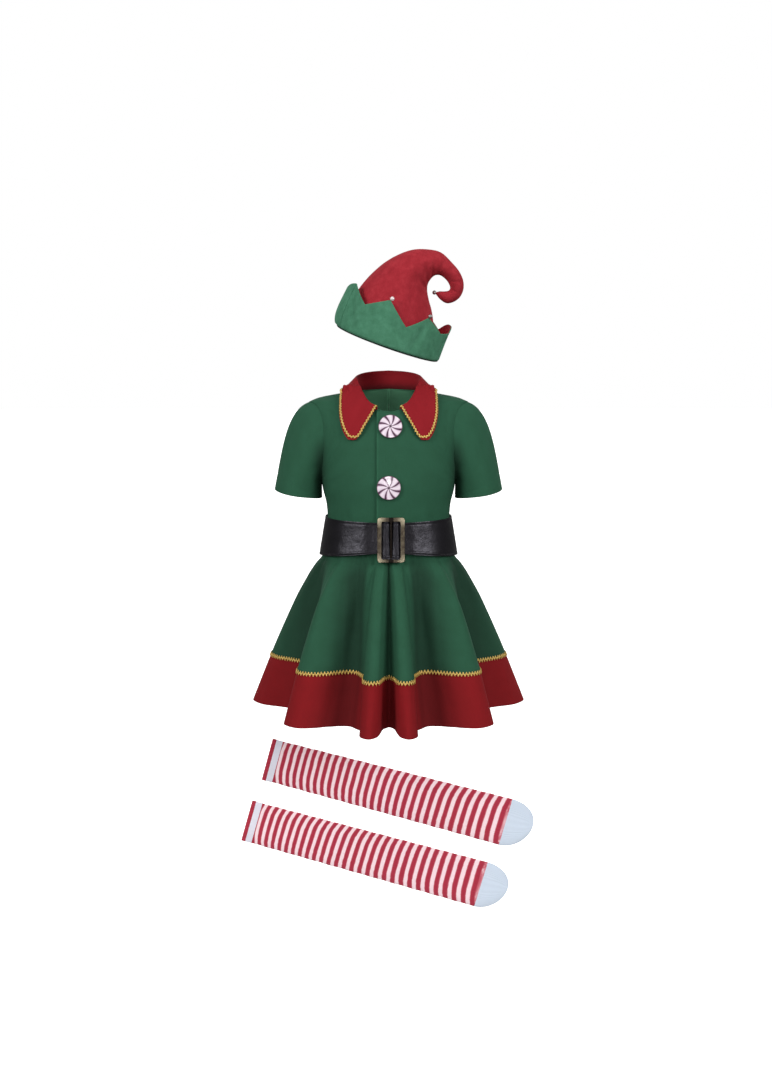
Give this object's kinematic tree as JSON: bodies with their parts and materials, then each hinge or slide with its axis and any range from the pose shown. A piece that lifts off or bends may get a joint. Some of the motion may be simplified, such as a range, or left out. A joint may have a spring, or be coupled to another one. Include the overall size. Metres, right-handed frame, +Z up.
{
  "type": "elf costume",
  "caption": "Child's elf costume: pointed felt hat with a zigzag brim, short-sleeved collared dress with a banded flared skirt, wide belt and striped stockings.",
  "frame": {"origin": "middle of the dress's neck opening, level with the neck-shoulder points", "axes": "+Z up, -Y towards the front of the dress, +X towards the wearer's left"},
  "size_m": [0.5141, 0.4561, 1.1376],
  "materials": {
    "dress_cloth": "dark green brushed polyester knit, matt with a soft nap",
    "band_cloth": "dark red brushed polyester knit, matt",
    "collar_cloth": "red brushed polyester knit, doubled, matt",
    "gold_braid": "gold metallised yarn, woven as ric-rac",
    "button_plastic": "glossy pinkish white with dark plum rays",
    "belt_leather": "black imitation leather, half gloss",
    "buckle_metal": "antiqued cast metal, worn bright at the corners",
    "hat_felt": "red pressed felt",
    "brim_felt": "green pressed felt",
    "bell_metal": "small silvered bell",
    "stocking_knit": "red and white striped knit"
  },
  "bodies": {
    "root": {"bodice_front_right": "dress_cloth", "bodice_front_left": "dress_cloth", "bodice_back_right": "dress_cloth", "bodice_back_left": "dress_cloth", "sleeve_left": "dress_cloth", "sleeve_right": "dress_cloth", "skirt_front": "dress_cloth", "skirt_back": "dress_cloth", "hem_band_front": "band_cloth", "hem_band_back": "band_cloth", "skirt_trim_front": "gold_braid", "skirt_trim_back": "gold_braid", "collar": "collar_cloth", "collar_trim": "gold_braid", "button_upper": "button_plastic", "button_lower": "button_plastic", "belt": "belt_leather", "buckle": "buckle_metal", "hat_crown_front": "hat_felt", "hat_crown_back": "hat_felt", "hat_brim": "brim_felt", "hat_bell_1": "bell_metal", "hat_bell_2": "bell_metal", "hat_bell_tip": "bell_metal", "stocking_upper": "stocking_knit", "stocking_lower": "stocking_knit"}
  },
  "joints": []
}
